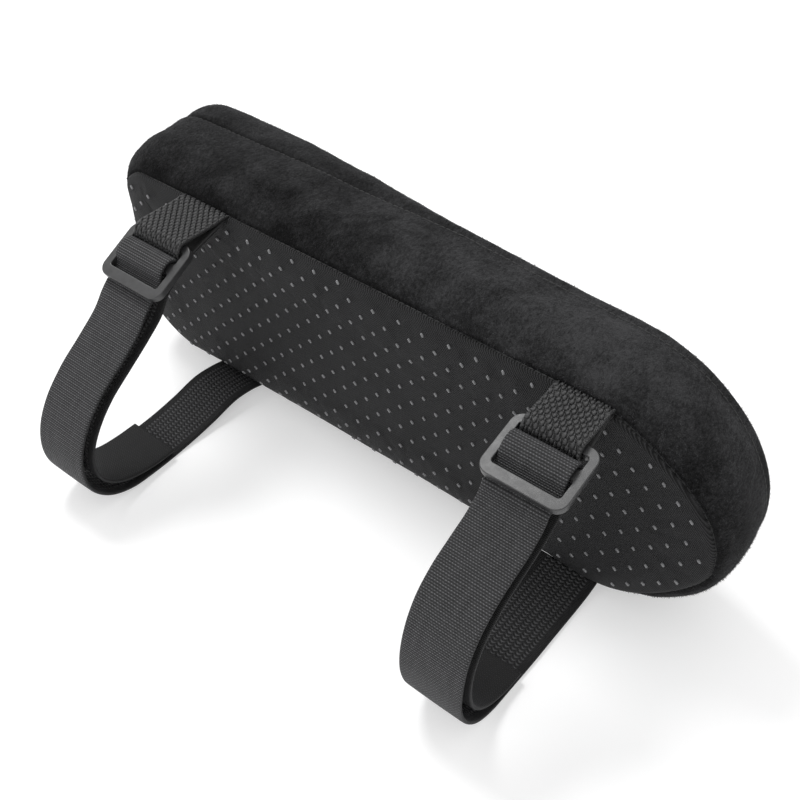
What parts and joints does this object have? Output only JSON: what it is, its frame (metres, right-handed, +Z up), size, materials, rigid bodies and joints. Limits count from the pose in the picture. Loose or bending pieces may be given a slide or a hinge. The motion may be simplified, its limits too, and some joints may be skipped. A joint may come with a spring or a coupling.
{
  "type": "chair armrest pad",
  "caption": "Long memory-foam pad in a plush cover with an anti-slip underside, held to a chair's armrest by elastic straps with tri-glide buckles.",
  "frame": {"origin": "middle of the part's box, on the floor it lies on", "axes": "+X along the pad to its rounded end, +Y out of the arm-rest face, -Y out of the anti-slip underside, +Z up across the pad, which lies on its long side"},
  "size_m": [0.2886, 0.1532, 0.104],
  "materials": {
    "foam": "matt memory foam",
    "anti_slip_knit": "fine ribbed knit with silicone dots",
    "plush": "short velour pile",
    "thread": "sewing thread",
    "zip_tape": "woven tape",
    "nylon_coil": "nylon",
    "zip_metal": "black enamel",
    "elastic_webbing": "ribbed elastic",
    "woven_webbing": "coarse woven webbing",
    "buckle_plastic": "satin moulded plastic"
  },
  "bodies": {
    "pad": {"foam_core": "foam", "underside_panel": "anti_slip_knit", "side_band": "plush", "top_panel": "plush", "underside_seam": "thread", "top_seam": "thread", "zip_tape_underside": "zip_tape", "zip_tape_top": "zip_tape", "zip_teeth": "nylon_coil", "zip_stop_closed": "zip_metal", "zip_stop_open": "zip_metal", "strap_left": "elastic_webbing", "strap_right": "elastic_webbing"},
    "tab_left": {"tab_left": "woven_webbing"},
    "buckle_left": {"buckle_left": "buckle_plastic"},
    "tab_right": {"tab_right": "woven_webbing"},
    "buckle_right": {"buckle_right": "buckle_plastic"},
    "zip_slider": {"zip_slider": "zip_metal"},
    "zip_pull": {"zip_pull": "zip_metal"}
  },
  "joints": [
    {"name": "tab_left_flex", "type": "hinge", "parent": "pad", "child": "tab_left", "pos_m": [-0.08835, 0.01237, 0.0957], "axis": [1, 0, 0], "range_deg": [-25, 25], "stiffness_Nm_per_rad": 0.03, "deforming": ["strap_left"]},
    {"name": "buckle_left_swing", "type": "hinge", "parent": "tab_left", "child": "buckle_left", "pos_m": [-0.08815, -0.00823, 0.0932], "axis": [1, 0, 0], "range_deg": [-30, 30], "stiffness_Nm_per_rad": 0.015, "deforming": ["strap_left"]},
    {"name": "tab_right_flex", "type": "hinge", "parent": "pad", "child": "tab_right", "pos_m": [0.08585, 0.01237, 0.0957], "axis": [1, 0, 0], "range_deg": [-25, 25], "stiffness_Nm_per_rad": 0.03, "deforming": ["strap_right"]},
    {"name": "buckle_right_swing", "type": "hinge", "parent": "tab_right", "child": "buckle_right", "pos_m": [0.08685, -0.00173, 0.0912], "axis": [1, 0, 0], "range_deg": [-30, 30], "stiffness_Nm_per_rad": 0.015, "deforming": ["strap_right"]},
    {"name": "zip_slide", "type": "slide", "parent": "pad", "child": "zip_slider", "axis": [1, 0, 0], "range_m": [-0.156, 0]},
    {"name": "zip_pull_swing", "type": "hinge", "parent": "zip_slider", "child": "zip_pull", "pos_m": [0.08525, 0.03527, 0.00175], "axis": [0, 1, 0], "range_deg": [-155, 5]}
  ]
}
